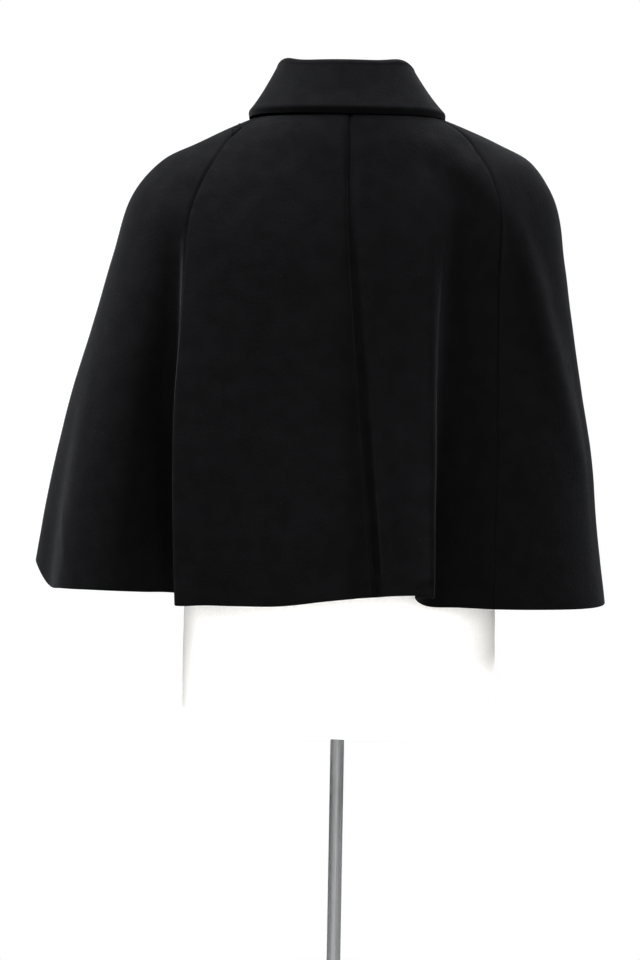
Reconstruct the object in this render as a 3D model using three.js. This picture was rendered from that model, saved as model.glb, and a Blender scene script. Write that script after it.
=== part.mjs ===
// A short black wool cape with a turned-down collar, buttoned at the front, on a white dress
// form. The form's steel pole stands in a round steel base.
// Millimetres, Z up. The floor is Z = 0 and the pole is the Z axis. The back of the cape
// faces -Y, and +X is on the right of someone who looks at the back.
import * as THREE from 'three';

// Driving dimensions.
const CLOTH = 2.6; // wool coating with its inner face
const COLLAR_CLOTH = 4.2; // upper and under collar, pressed together
const SEAM_GAP = 0.3; // between neighbouring pieces
const LAP = 22; // each front runs this far past the centre line
const LAP_LIFT = CLOTH + 0.5; // how far the upper front lies out over the lower one
const LAP_BLEND = { start: 3, end: 26 }; // past the lap, where the upper front comes back in
const BUTTON_R = 12;
const BUTTON_T = 3.6;
const POLE_R = 7.5;
const BASE_R = 170;
const BASE_T = 8;
const FORM_BOTTOM = 655;

// The cape from its neck seam to its hem, without its folds, as level sections. `down` is the
// share of the way from neck to hem. REACH is how far the cloth lies from the pole on each side,
// and HEIGHT is how high that place is above the floor.
const REACH = [
  { down: 0, left: 67, right: 67, back: 62, front: 76 },
  { down: 0.045, left: 96, right: 97, back: 81, front: 88 },
  { down: 0.09, left: 124, right: 126, back: 92, front: 99 },
  { down: 0.17, left: 166, right: 167, back: 103, front: 114 },
  { down: 0.235, left: 202, right: 202, back: 112, front: 126 },
  { down: 0.31, left: 234, right: 227, back: 121, front: 137 },
  { down: 0.42, left: 256, right: 240, back: 131, front: 146 },
  { down: 0.54, left: 276, right: 251, back: 142, front: 151 },
  { down: 0.65, left: 296, right: 262, back: 153, front: 155 },
  { down: 0.76, left: 311, right: 274, back: 165, front: 159 },
  { down: 0.87, left: 323, right: 280, back: 177, front: 163 },
  { down: 1, left: 334.5, right: 291, back: 190, front: 168 },
];
const HEIGHT = [
  { down: 0, left: 1338, right: 1338, back: 1343, front: 1292 },
  { down: 0.045, left: 1328, right: 1329, back: 1325, front: 1273 },
  { down: 0.09, left: 1317, right: 1319, back: 1299, front: 1254 },
  { down: 0.17, left: 1297, right: 1301, back: 1256, front: 1216 },
  { down: 0.235, left: 1279, right: 1282, back: 1218, front: 1185 },
  { down: 0.31, left: 1242, right: 1243, back: 1177, front: 1148 },
  { down: 0.42, left: 1172, right: 1172, back: 1117, front: 1092 },
  { down: 0.54, left: 1098, right: 1098, back: 1052, front: 1032 },
  { down: 0.65, left: 1030, right: 1030, back: 991, front: 977 },
  { down: 0.76, left: 960, right: 960, back: 931, front: 921 },
  { down: 0.87, left: 890, right: 890, back: 871, front: 866 },
  { down: 1, left: 806, right: 803, back: 799, front: 802 },
];

// Where the shoulder panels meet the back and the fronts, as bearings from the centre back.
const SEAM_LINES = [
  { down: 0.0, backSeam: 72, frontSeam: 112 },
  { down: 0.13, backSeam: 60, frontSeam: 118 },
  { down: 0.21, backSeam: 51, frontSeam: 126 },
  { down: 0.3, backSeam: 46, frontSeam: 132 },
  { down: 0.42, backSeam: 42.5, frontSeam: 137 },
  { down: 0.55, backSeam: 40, frontSeam: 140 },
  { down: 0.75, backSeam: 36.5, frontSeam: 143 },
  { down: 1.0, backSeam: 33, frontSeam: 147 },
];

// The folds of each panel, in order round the hem from the edge of the left front to the edge of
// the right one. `across` is the place in the panel, from its first edge to its last. `out`,
// `along` and `rise` move the hem there off the smooth section, and `from` is where it begins.
const FOLDS = {
  front_left: [
    { name: 'edge', across: 0, out: 0, along: 0, rise: 0, from: 0.3 },
    { name: 'flat', across: 0.3, out: 1, along: 0, rise: 0, from: 0.3 },
    { name: 'ridge', across: 0.66, out: 9, along: 0, rise: 0, from: 0.3 },
  ],
  side_front_left: [
    { name: 'seam', across: 0, out: -12, along: 0, rise: 2, from: 0.3 },
    { name: 'hollow', across: 0.22, out: -20, along: 0, rise: 4, from: 0.3 },
    { name: 'swell', across: 0.6, out: 4, along: 0, rise: 16, from: 0.35 },
  ],
  side_back_left: [
    { name: 'side', across: 0, out: 1, along: 0, rise: 30, from: 0.6 },
    { name: 'lip', across: 0.25, out: -8, along: 3, rise: 6, from: 0.45 },
    { name: 'swell', across: 0.45, out: 2, along: 11, rise: 6, from: 0.4 },
    { name: 'hollow edge', across: 0.62, out: -3, along: 17, rise: 7, from: 0.34 },
    { name: 'turned away', across: 0.73, out: -17, along: 8, rise: 7, from: 0.33 },
    { name: 'hollow', across: 0.82, out: -49.5, along: -1.5, rise: 6, from: 0.32 },
    { name: 'hollow floor', across: 0.89, out: -86, along: -7, rise: 5, from: 0.31 },
    { name: 'foot of the wall', across: 0.935, out: -97, along: 2.5, rise: 3, from: 0.31 },
    { name: 'wall', across: 0.965, out: -59, along: 14, rise: 0, from: 0.31 },
    { name: 'behind the ridge', across: 0.984, out: -12, along: 15.5, rise: -1, from: 0.31 },
  ],
  back_left: [
    { name: 'seam on the ridge', across: 0, out: 10.5, along: 15, rise: -2, from: 0.31 },
    { name: 'ridge', across: 0.05, out: 10, along: 17, rise: -2, from: 0.3 },
    { name: 'turned away', across: 0.15, out: -0.5, along: 15, rise: -1, from: 0.3 },
    { name: 'shallow', across: 0.32, out: -13, along: 13, rise: -1, from: 0.3 },
    { name: 'flat', across: 0.55, out: -17.5, along: 17.5, rise: 0, from: 0.3 },
    { name: 'slope', across: 0.8, out: -13.5, along: 23.5, rise: 7, from: 0.28 },
    { name: 'beside the centre', across: 0.93, out: -13, along: 25, rise: 10, from: 0.25 },
  ],
  back_right: [
    { name: 'centre seam', across: 0, out: -27, along: 31.5, rise: 11, from: 0.2 },
    { name: 'groove', across: 0.03, out: -33, along: 32.5, rise: 11, from: 0.2 },
    { name: 'groove side', across: 0.08, out: -27, along: 31.5, rise: 12, from: 0.2 },
    { name: 'beside the groove', across: 0.14, out: -19, along: 30.5, rise: 13, from: 0.2 },
    { name: 'slope', across: 0.26, out: -12.5, along: 28.5, rise: 14, from: 0.18 },
    { name: 'upper slope', across: 0.37, out: -4, along: 22.5, rise: 14, from: 0.15 },
    { name: 'crest', across: 0.48, out: 4.5, along: 13.5, rise: 13, from: 0.08 },
    { name: 'turned under', across: 0.55, out: -11, along: 6.5, rise: 11, from: 0.06 },
    { name: 'behind', across: 0.63, out: -30.5, along: -16.5, rise: 10, from: 0.05 },
    { name: 'hollow', across: 0.73, out: -56, along: -11.5, rise: 0, from: 0.02 },
    { name: 'hollow flat', across: 0.87, out: -50, along: -1, rise: -1, from: 0.03 },
  ],
  side_back_right: [
    { name: 'seam', across: 0, out: -29, along: 12, rise: -2, from: 0.06 },
    { name: 'flat', across: 0.22, out: -8, along: 15, rise: -3, from: 0.3 },
    { name: 'swell', across: 0.58, out: 1, along: 4, rise: -4, from: 0.4 },
  ],
  side_front_right: [
    { name: 'side', across: 0, out: 0, along: 0, rise: -2, from: 0.4 },
    { name: 'swell', across: 0.35, out: 5, along: 0, rise: 3, from: 0.35 },
    { name: 'hollow', across: 0.75, out: -18, along: 0, rise: 2, from: 0.3 },
  ],
  front_right: [
    { name: 'seam', across: 0, out: -12, along: 0, rise: 0, from: 0.3 },
    { name: 'ridge', across: 0.35, out: 8, along: 0, rise: -2, from: 0.3 },
    { name: 'flat', across: 0.7, out: 1, along: 0, rise: 0, from: 0.3 },
    { name: 'edge', across: 1, out: 0, along: 0, rise: 0, from: 0.3 },
  ],
};
const PANELS = Object.keys(FOLDS);

// Level sections of the dress form, from its foot to the cap of its neck. `round` is 2 for an
// ellipse, and less where the shoulders run out to a narrower ridge.
const FORM_SECTIONS = [
  { z: 655, side: 142, back: 86, front: 78, round: 2 },
  { z: 657, side: 152, back: 96, front: 86, round: 2 },
  { z: 663, side: 163, back: 105, front: 94, round: 2 },
  { z: 675, side: 169.5, back: 110, front: 99, round: 2 },
  { z: 700, side: 171, back: 112, front: 101, round: 2 },
  { z: 760, side: 171, back: 114, front: 102, round: 2 },
  { z: 810, side: 169, back: 113, front: 103, round: 2 },
  { z: 870, side: 154, back: 102, front: 101, round: 2 },
  { z: 940, side: 130, back: 88, front: 94, round: 2 },
  { z: 985, side: 131, back: 87, front: 95, round: 2 },
  { z: 1040, side: 145, back: 95, front: 112, round: 2 },
  { z: 1095, side: 159, back: 103, front: 130, round: 2 },
  { z: 1145, side: 167, back: 107, front: 126, round: 2 },
  { z: 1190, side: 178, back: 106, front: 112, round: 2 },
  { z: 1225, side: 190, back: 102, front: 100, round: 2 },
  { z: 1248, side: 195, back: 97, front: 92, round: 1.9 },
  { z: 1266, side: 194, back: 91, front: 82, round: 1.8 },
  { z: 1280, side: 187, back: 85, front: 72, round: 1.65 },
  { z: 1289, side: 174, back: 80, front: 65, round: 1.5 },
  { z: 1297, side: 159, back: 76, front: 61, round: 1.4 },
  { z: 1306, side: 140, back: 70, front: 58, round: 1.3 },
  { z: 1316, side: 117.5, back: 64, front: 56, round: 1.2 },
  { z: 1324, side: 95, back: 59, front: 55, round: 1.2 },
  { z: 1330, side: 73, back: 55, front: 55, round: 1.3 },
  { z: 1336, side: 59, back: 51, front: 54, round: 1.8 },
  { z: 1345, side: 54, back: 48, front: 53, round: 2 },
  { z: 1357, side: 52, back: 46, front: 52, round: 2 },
  { z: 1366, side: 51, back: 45, front: 51, round: 2 },
  { z: 1369, side: 47, back: 41, front: 47, round: 2 },
];

// Mesh fineness.
const COLUMN = 20; // widest step round the hem
const ROWS = [0, 0.045, 0.09, 0.135, 0.18, 0.225, 0.27, 0.315, 0.37, 0.43, 0.5, 0.57, 0.64, 0.71,
  0.78, 0.85, 0.93, 1];
const FORM_STEPS = 40;
const COLLAR_STEPS = 44;
const ROUND_STEPS = 32;

const toRadians = THREE.MathUtils.degToRad;
const toDegrees = THREE.MathUtils.radToDeg;
const { smoothstep, lerp, clamp } = THREE.MathUtils;

// A smooth curve through `values` at the places `knots`, read at `x`.
function through(knots, values, x) {
  const last = knots.length - 1;
  let i = 0;
  while (i < last - 1 && x > knots[i + 1]) i += 1;
  const slope = (k) => (values[k + 1] - values[k]) / (knots[k + 1] - knots[k]);
  const tangent = (k) => {
    if (k === 0) return slope(0);
    if (k === last) return slope(last - 1);
    return (slope(k - 1) + slope(k)) / 2;
  };
  const width = knots[i + 1] - knots[i];
  const s = clamp((x - knots[i]) / width, 0, 1);
  const s2 = s * s;
  const s3 = s2 * s;
  return (2 * s3 - 3 * s2 + 1) * values[i] + (s3 - 2 * s2 + s) * width * tangent(i)
    + (3 * s2 - 2 * s3) * values[i + 1] + (s3 - s2) * width * tangent(i + 1);
}

function column(table, place, name, x) {
  return through(table.map((row) => row[place]), table.map((row) => row[name]), x);
}

const reach = (side, down) => column(REACH, 'down', side, down);
const height = (side, down) => column(HEIGHT, 'down', side, down);
const seamLine = (name, down) => column(SEAM_LINES, 'down', name, down);

// The bearing of the front edges, which run LAP past the centre line at every height.
const frontEdge = (down) => 180 + toDegrees(Math.asin(LAP / reach('right', down)));

// The bearings of a panel's two edges at one height, in order from left front to right front.
function panelEdges(panel, down) {
  const back = seamLine('backSeam', down);
  const front = seamLine('frontSeam', down);
  const edge = frontEdge(down);
  return {
    front_left: [-edge, -front],
    side_front_left: [-front, -90],
    side_back_left: [-90, -back],
    back_left: [-back, 0],
    back_right: [0, back],
    side_back_right: [back, 90],
    side_front_right: [90, front],
    front_right: [front, edge],
  }[panel];
}

// A point of the smooth section at a bearing, with its outward and sideways directions.
function smoothPoint(bearing, down) {
  const angle = toRadians(bearing);
  const sin = Math.sin(angle);
  const cos = Math.cos(angle);
  const side = sin < 0 ? 'left' : 'right';
  const end = cos > 0 ? 'back' : 'front';
  const half = reach(side, down);
  const depth = reach(end, down);
  const z = lerp(height(end, down), height(side, down), sin * sin);
  const point = new THREE.Vector3(half * sin, -depth * cos, z);
  const out = new THREE.Vector3(sin / half, -cos / depth, 0).normalize();
  return { point, out, along: new THREE.Vector3(-out.y, out.x, 0) };
}

// How far a fold has opened: nothing at its start, and all of it at the hem.
function opened(from, down) {
  const share = Math.max(0, (down - from) / (1 - from));
  const softStart = 0.12;
  return share * share * (1 + softStart) / (share + softStart);
}

// Each fold as a line down the cloth. `knot` is its place round the hem.
const folds = PANELS.flatMap((panel) => FOLDS[panel].map((fold) => ({ ...fold, panel })));
const lines = folds.map((fold) => {
  const bearing = (down) => {
    const [first, last] = panelEdges(fold.panel, down);
    return lerp(first, last, fold.across);
  };
  const { out, along } = smoothPoint(bearing(1), 1);
  const shift = new THREE.Vector3(0, 0, fold.rise)
    .addScaledVector(out, fold.out).addScaledVector(along, fold.along);
  const hem = smoothPoint(bearing(1), 1).point.add(shift);
  return { ...fold, bearing, shift, hem };
});
lines.forEach((line, i) => {
  line.knot = i === 0 ? 0 : lines[i - 1].knot + line.hem.distanceTo(lines[i - 1].hem);
});
const knots = lines.map((line) => line.knot);

// The right front laps over the left one, so near the centre line it lies further out.
function lapLift(x, down) {
  const step = 0.01;
  const [above, below] = [Math.max(down - step, 0), Math.min(down + step, 1)];
  const forward = reach('front', below) - reach('front', above);
  const fall = height('front', above) - height('front', below);
  const lift = LAP_LIFT * (1 - smoothstep(x, LAP + LAP_BLEND.start, LAP + LAP_BLEND.end));
  return new THREE.Vector3(0, fall, forward).setLength(lift);
}

// The outer face of the cloth, by its place round the hem and its share of the way down.
function clothPoint(round, down) {
  const bearing = through(knots, lines.map((line) => line.bearing(down)), round);
  const { point } = smoothPoint(bearing, down);
  for (const axis of ['x', 'y', 'z']) {
    point[axis] += through(knots, lines.map((line) => opened(line.from, down) * line.shift[axis]),
      round);
  }
  return bearing > 90 ? point.add(lapLift(point.x, down)) : point;
}

// The cloth's outward direction, from two short steps along it.
function clothNormal(round, down) {
  const step = 0.5;
  const rise = 0.002;
  const low = Math.min(down + rise, 1);
  const high = Math.max(down - rise, 0);
  const across = clothPoint(round + step, down).sub(clothPoint(round - step, down));
  const fall = clothPoint(round, low).sub(clothPoint(round, high));
  return fall.cross(across).normalize();
}

// A closed wall between two grids of points of the same size.
function wall(outer, inner) {
  const columns = outer.length;
  const rows = outer[0].length;
  const points = [...outer.flat(), ...inner.flat()];
  const faces = [];
  const at = (side, i, j) => side * columns * rows + i * rows + j;
  const quad = (a, b, c, d) => faces.push(a, b, c, a, c, d);
  for (let i = 0; i < columns - 1; i += 1) {
    for (let j = 0; j < rows - 1; j += 1) {
      quad(at(0, i, j), at(0, i, j + 1), at(0, i + 1, j + 1), at(0, i + 1, j));
      quad(at(1, i, j), at(1, i + 1, j), at(1, i + 1, j + 1), at(1, i, j + 1));
    }
    quad(at(0, i, 0), at(0, i + 1, 0), at(1, i + 1, 0), at(1, i, 0));
    quad(at(0, i, rows - 1), at(1, i, rows - 1), at(1, i + 1, rows - 1), at(0, i + 1, rows - 1));
  }
  for (let j = 0; j < rows - 1; j += 1) {
    quad(at(0, 0, j), at(1, 0, j), at(1, 0, j + 1), at(0, 0, j + 1));
    const e = columns - 1;
    quad(at(0, e, j), at(0, e, j + 1), at(1, e, j + 1), at(1, e, j));
  }
  return solid(points, faces);
}

function solid(points, faces) {
  const geometry = new THREE.BufferGeometry().setFromPoints(points);
  geometry.setIndex(faces);
  geometry.computeVertexNormals();
  return geometry;
}

// A closed body through a stack of level rings, with a flat foot and a flat top.
function stacked(rings) {
  const steps = rings[0].length;
  const points = rings.flat();
  const faces = [];
  for (let j = 0; j < rings.length - 1; j += 1) {
    for (let i = 0; i < steps; i += 1) {
      const a = j * steps + i;
      const b = j * steps + (i + 1) % steps;
      faces.push(a, b, b + steps, a, b + steps, a + steps);
    }
  }
  const centre = (ring) => ring.reduce((sum, p) => sum.add(p), new THREE.Vector3())
    .divideScalar(steps);
  const foot = points.push(centre(rings[0])) - 1;
  const top = points.push(centre(rings[rings.length - 1])) - 1;
  const upper = (rings.length - 1) * steps;
  for (let i = 0; i < steps; i += 1) {
    const next = (i + 1) % steps;
    faces.push(foot, next, i, top, upper + i, upper + next);
  }
  return solid(points, faces);
}

function material(color, roughness, metalness = 0) {
  return new THREE.MeshStandardMaterial({ color, roughness, metalness });
}
const wool = material(0x121316, 0.95);
const horn = material(0x0c0c0d, 0.35);
const jersey = material(0xf1efec, 0.85);
const steel = material(0x9a9da0, 0.3, 1);
const paintedSteel = material(0x2a2b2d, 0.5, 0.6);

const cape = new THREE.Group();
const stand = new THREE.Group();

function add(group, name, geometry, finish) {
  const mesh = new THREE.Mesh(geometry, finish);
  mesh.name = name;
  group.add(mesh);
  return mesh;
}

// The places round the hem where a panel's columns of points stand.
function panelColumns(panel) {
  const next = PANELS[PANELS.indexOf(panel) + 1];
  const first = lines.findIndex((line) => line.panel === panel);
  const last = next ? lines.findIndex((line) => line.panel === next) : lines.length - 1;
  const places = [knots[first]];
  for (let i = first; i < last; i += 1) {
    const steps = Math.max(2, Math.ceil((knots[i + 1] - knots[i]) / COLUMN));
    for (let k = 1; k <= steps; k += 1) places.push(lerp(knots[i], knots[i + 1], k / steps));
  }
  return places;
}

// Half the seam's gap is taken off each edge that meets a neighbour.
function edgeGap(panel, places, index, down) {
  const side = index === 0 ? 1 : index === places.length - 1 ? -1 : 0;
  const free = (panel === 'front_left' && side === 1) || (panel === 'front_right' && side === -1);
  if (side === 0 || free) return 0;
  const step = 0.5;
  const round = places[index];
  const stretch = clothPoint(round + step, down).distanceTo(clothPoint(round - step, down));
  return side * SEAM_GAP / 2 / stretch * (2 * step);
}

function panelWall(panel) {
  const places = panelColumns(panel);
  const outer = [];
  const inner = [];
  places.forEach((place, index) => {
    const onLine = ROWS.map((down) => [place + edgeGap(panel, places, index, down), down]);
    const face = onLine.map(([round, down]) => clothPoint(round, down));
    outer.push(face);
    inner.push(face.map((p, j) => p.clone().addScaledVector(clothNormal(...onLine[j]), -CLOTH)));
  });
  return wall(outer, inner);
}

for (const panel of PANELS) add(cape, panel, panelWall(panel), wool);

// The collar: a stand that rises inside the neck seam, rolls over, and falls on the shoulders.
// The rings are the middle of its cloth. A fall that spreads leaves the centre front open.
// `shift` moves a ring sideways. `corners` are where the roll stands a little higher.
const STAND_FOOT = { side: 63.6, back: 57, front: 70.6, shift: 0 };
const FOOT_BELOW_SEAM = 1.5;
const ROLL = { side: 70, back: 60, front: 75, sideZ: 1377.5, backZ: 1376, frontZ: 1328,
  shift: -3.5, corners: [{ bearing: -68, rise: 5.5 }, { bearing: 56, rise: 4.5 }] };
const ROLL_R = 4.3;
const CORNER_WIDTH = 20;
const FALL_EDGE = { side: 110, back: 88, front: 108, sideZ: 1328.5, backZ: 1322, frontZ: 1266,
  shift: -1 };
const FALL_SAG = 6;
const COLLAR_OPENING = { foot: 177, edge: 160 };
const ROLL_ARC_STEPS = 5;
const STAND_STEPS = 2;
const FALL_STEPS = 6;

function ringPoint(ring, bearing) {
  const angle = toRadians(bearing);
  const sin = Math.sin(angle);
  const cos = Math.cos(angle);
  const depth = cos > 0 ? ring.back : ring.front;
  let z = lerp(cos > 0 ? ring.backZ : ring.frontZ, ring.sideZ, sin * sin);
  for (const corner of ring.corners ?? []) {
    z += corner.rise * Math.exp(-(((bearing - corner.bearing) / CORNER_WIDTH) ** 2));
  }
  return new THREE.Vector3(ring.shift + ring.side * sin, -depth * cos, z);
}

// The line that the collar's cloth follows at one bearing, from neck seam to outer edge.
function collarLine(share) {
  const bearingAt = (fall) => share * lerp(COLLAR_OPENING.foot, COLLAR_OPENING.edge, fall);
  const line = [];
  const seam = HEIGHT[0];
  const footRing = { ...STAND_FOOT, sideZ: seam.left, backZ: seam.back, frontZ: seam.front };
  const foot = ringPoint(footRing, bearingAt(0));
  foot.z -= FOOT_BELOW_SEAM;
  const centre = ringPoint(ROLL, bearingAt(0));
  const out = new THREE.Vector3((centre.x - ROLL.shift) / ROLL.side ** 2,
    centre.y / ROLL.back ** 2, 0).normalize();
  const rollPoint = (turn) => centre.clone().addScaledVector(out, -ROLL_R * Math.cos(turn))
    .add(new THREE.Vector3(0, 0, ROLL_R * Math.sin(turn)));
  for (let i = 0; i < STAND_STEPS; i += 1) {
    line.push(foot.clone().lerp(rollPoint(0), i / STAND_STEPS));
  }
  for (let i = 0; i <= ROLL_ARC_STEPS; i += 1) {
    line.push(rollPoint(Math.PI * i / ROLL_ARC_STEPS));
  }
  const start = rollPoint(Math.PI);
  for (let i = 1; i <= FALL_STEPS; i += 1) {
    const s = i / FALL_STEPS;
    const edge = ringPoint(FALL_EDGE, bearingAt(s));
    const bend = start.clone().lerp(edge, 0.5);
    bend.z -= FALL_SAG;
    const a = start.clone().lerp(bend, s);
    const b = bend.clone().lerp(edge, s);
    line.push(a.lerp(b, s));
  }
  return line;
}

function collarWall() {
  const lattice = [];
  for (let i = 0; i <= COLLAR_STEPS; i += 1) lattice.push(collarLine(2 * i / COLLAR_STEPS - 1));
  const last = lattice[0].length - 1;
  const normal = (i, j) => {
    const across = lattice[Math.min(i + 1, COLLAR_STEPS)][j].clone()
      .sub(lattice[Math.max(i - 1, 0)][j]);
    const fall = lattice[i][Math.min(j + 1, last)].clone().sub(lattice[i][Math.max(j - 1, 0)]);
    return fall.cross(across).normalize();
  };
  const offset = (distance) => lattice.map((line, i) => line.map((p, j) => p.clone()
    .addScaledVector(normal(i, j), distance)));
  return wall(offset(COLLAR_CLOTH / 2), offset(-COLLAR_CLOTH / 2));
}
add(cape, 'collar', collarWall(), wool);

// Buttons down the centre of the upper front, each lying just off its cloth.
const BUTTON_DOWNS = [0.1, 0.34, 0.58, 0.82];
const BUTTON_PROFILE = [[0, 0], [0.8, 0], [1, 0.3], [1, 0.75], [0.9, 1], [0, 1]];
const BUTTON_LIFT = 0.6;

// The place round the hem where the upper front crosses the centre line.
function centreRound(down) {
  const halvings = 30;
  let low = lines.find((line) => line.panel === 'front_right').knot;
  let high = knots[knots.length - 1];
  for (let i = 0; i < halvings; i += 1) {
    const middle = (low + high) / 2;
    if (clothPoint(middle, down).x > 0) low = middle;
    else high = middle;
  }
  return low;
}

BUTTON_DOWNS.forEach((down, index) => {
  const profile = BUTTON_PROFILE.map(([r, h]) => new THREE.Vector2(r * BUTTON_R, h * BUTTON_T));
  const geometry = new THREE.LatheGeometry(profile, ROUND_STEPS);
  const button = add(cape, `button_${index + 1}`, geometry, horn);
  const round = centreRound(down);
  const normal = clothNormal(round, down);
  button.quaternion.setFromUnitVectors(new THREE.Vector3(0, 1, 0), normal);
  button.position.copy(clothPoint(round, down)).addScaledVector(normal, BUTTON_LIFT);
});

// The dress form: neck, shoulders and body in one smooth shell, closed at the foot and neck.
function formRing({ z, side, back, front, round }) {
  const ring = [];
  for (let i = 0; i < FORM_STEPS; i += 1) {
    const angle = 2 * Math.PI * i / FORM_STEPS;
    const bent = (value) => Math.sign(value) * Math.abs(value) ** (2 / round);
    const depth = Math.cos(angle) > 0 ? back : front;
    ring.push(new THREE.Vector3(side * bent(Math.sin(angle)), -depth * bent(Math.cos(angle)), z));
  }
  return ring;
}
add(stand, 'form_body', stacked(FORM_SECTIONS.map(formRing)), jersey);

// Things turned about the pole's line, from outlines of radius and height.
function turned(outline) {
  const profile = outline.map(([r, z]) => new THREE.Vector2(r, z));
  return new THREE.LatheGeometry(profile, ROUND_STEPS).rotateX(Math.PI / 2);
}

// The base is a heavy disc. The socket stands on it and takes the pole.
const SOCKET_R = 17;
const SOCKET_H = 34;
const STEEL_EDGE = 2;
add(stand, 'base', turned([
  [0, 0], [BASE_R - STEEL_EDGE, 0], [BASE_R, STEEL_EDGE], [BASE_R, BASE_T - STEEL_EDGE],
  [BASE_R - STEEL_EDGE, BASE_T], [0, BASE_T],
]), paintedSteel);
const socketFoot = BASE_T + SEAM_GAP;
const socketTop = BASE_T + SOCKET_H;
add(stand, 'socket', turned([
  [0, socketFoot], [SOCKET_R, socketFoot], [SOCKET_R, socketTop - STEEL_EDGE],
  [SOCKET_R - STEEL_EDGE, socketTop], [0, socketTop],
]), paintedSteel);
const poleFoot = socketTop + SEAM_GAP;
const poleTop = FORM_BOTTOM - SEAM_GAP;
add(stand, 'pole', turned([[0, poleFoot], [POLE_R, poleFoot], [POLE_R, poleTop], [0, poleTop]]),
  steel);

const part = new THREE.Group();
part.add(cape, stand);
export default part;
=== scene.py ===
import math

import bpy
import numpy as np
from mathutils import Matrix, Vector, noise


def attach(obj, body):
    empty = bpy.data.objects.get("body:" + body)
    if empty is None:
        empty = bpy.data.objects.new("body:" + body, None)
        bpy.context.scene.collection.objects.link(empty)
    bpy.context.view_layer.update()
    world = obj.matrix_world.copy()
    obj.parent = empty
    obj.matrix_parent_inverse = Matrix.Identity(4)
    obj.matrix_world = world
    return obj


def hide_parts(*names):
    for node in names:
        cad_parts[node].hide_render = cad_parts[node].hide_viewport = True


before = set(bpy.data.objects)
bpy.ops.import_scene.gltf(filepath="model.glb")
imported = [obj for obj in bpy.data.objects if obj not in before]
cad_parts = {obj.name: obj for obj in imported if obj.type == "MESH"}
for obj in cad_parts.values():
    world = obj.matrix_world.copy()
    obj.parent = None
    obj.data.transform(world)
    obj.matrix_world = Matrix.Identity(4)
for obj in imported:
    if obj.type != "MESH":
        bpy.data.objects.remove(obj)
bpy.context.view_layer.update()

# Camera, light and floor
# The cape is seen level from its back against plain white, with the camera turned a degree. A lamp
# high on the left gives the folds their light side, and wide soft lamps above, at the right and by
# the camera lift the rest. One lights the front, and the last only the form and its pole.
MM = 0.001
CAMERA_AT = (-0.024, -2.5, 0.930)
CAMERA_LENS = 85.2
CAMERA_ROLL = 1.0

camera = bpy.data.objects.new("camera", bpy.data.cameras.new("camera"))
bpy.context.collection.objects.link(camera)
camera.data.lens = CAMERA_LENS
camera.data.clip_end = 50
level = Matrix.Rotation(math.radians(90), 4, "X")
rolled = Matrix.Rotation(math.radians(CAMERA_ROLL), 4, "Z")
camera.matrix_world = Matrix.Translation(CAMERA_AT) @ level @ rolled
bpy.context.scene.camera = camera
bpy.context.scene.view_settings.view_transform = "Standard"
bpy.context.scene.view_settings.gamma = 0.8

CAPE_MIDDLE = Vector((0, 0, 1.05))


def soft_lamp(name, turn, height, distance, size, watts):
    """A square lamp aimed at the cape. turn is in degrees from the camera's side towards +X."""
    data = bpy.data.lights.new(name, "AREA")
    data.size = size
    data.energy = watts
    lamp = bpy.data.objects.new(name, data)
    bpy.context.collection.objects.link(lamp)
    angle = math.radians(turn)
    rise = math.radians(height)
    level_share = math.cos(rise)
    towards = Vector((math.sin(angle) * level_share, -math.cos(angle) * level_share, math.sin(rise)))
    lamp.location = CAPE_MIDDLE + towards * distance
    lamp.rotation_euler = towards.to_track_quat("Z", "Y").to_euler()


soft_lamp("lamp_left", turn=-86, height=61, distance=3.0, size=1.2, watts=218)
soft_lamp("lamp_left_near", turn=-65, height=40, distance=3.0, size=1.4, watts=32)
soft_lamp("lamp_right", turn=60, height=44, distance=3.0, size=1.4, watts=26)
soft_lamp("lamp_right_low", turn=101, height=26, distance=3.0, size=0.9, watts=98)
soft_lamp("lamp_top", turn=-20, height=80, distance=2.6, size=1.8, watts=165)
soft_lamp("lamp_camera", turn=-10, height=50, distance=3.0, size=2.0, watts=48)
soft_lamp("lamp_front", turn=165, height=28, distance=3.0, size=2.2, watts=110)
soft_lamp("lamp_form", turn=-3, height=-4, distance=3.0, size=2.4, watts=105)
form_light = bpy.data.collections.new("form_light")
bpy.data.objects["lamp_form"].light_linking.receiver_collection = form_light

world = bpy.data.worlds.new("white_room")
bpy.context.scene.world = world
world.use_nodes = True
nodes = world.node_tree.nodes
links = world.node_tree.links
nodes.clear()
room_light = nodes.new("ShaderNodeBackground")
room_light.inputs["Color"].default_value = (1.0, 1.0, 1.0, 1)
room_light.inputs["Strength"].default_value = 0.004
white_wall = nodes.new("ShaderNodeBackground")
white_wall.inputs["Color"].default_value = (1, 1, 1, 1)
white_wall.inputs["Strength"].default_value = 1.0
seen = nodes.new("ShaderNodeLightPath")
either = nodes.new("ShaderNodeMixShader")
room_out = nodes.new("ShaderNodeOutputWorld")
links.new(seen.outputs["Is Camera Ray"], either.inputs["Fac"])
links.new(room_light.outputs["Background"], either.inputs[1])
links.new(white_wall.outputs["Background"], either.inputs[2])
links.new(either.outputs["Shader"], room_out.inputs["Surface"])


def build_mesh(name, points, faces):
    """A smooth-shaded object from points in millimetres and faces of three or four corners."""
    mesh = bpy.data.meshes.new(name)
    mesh.from_pydata((np.asarray(points) * MM).tolist(), [], [list(face) for face in faces])
    mesh.validate()
    mesh.shade_smooth()
    piece = bpy.data.objects.new(name, mesh)
    bpy.context.collection.objects.link(piece)
    return piece


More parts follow.
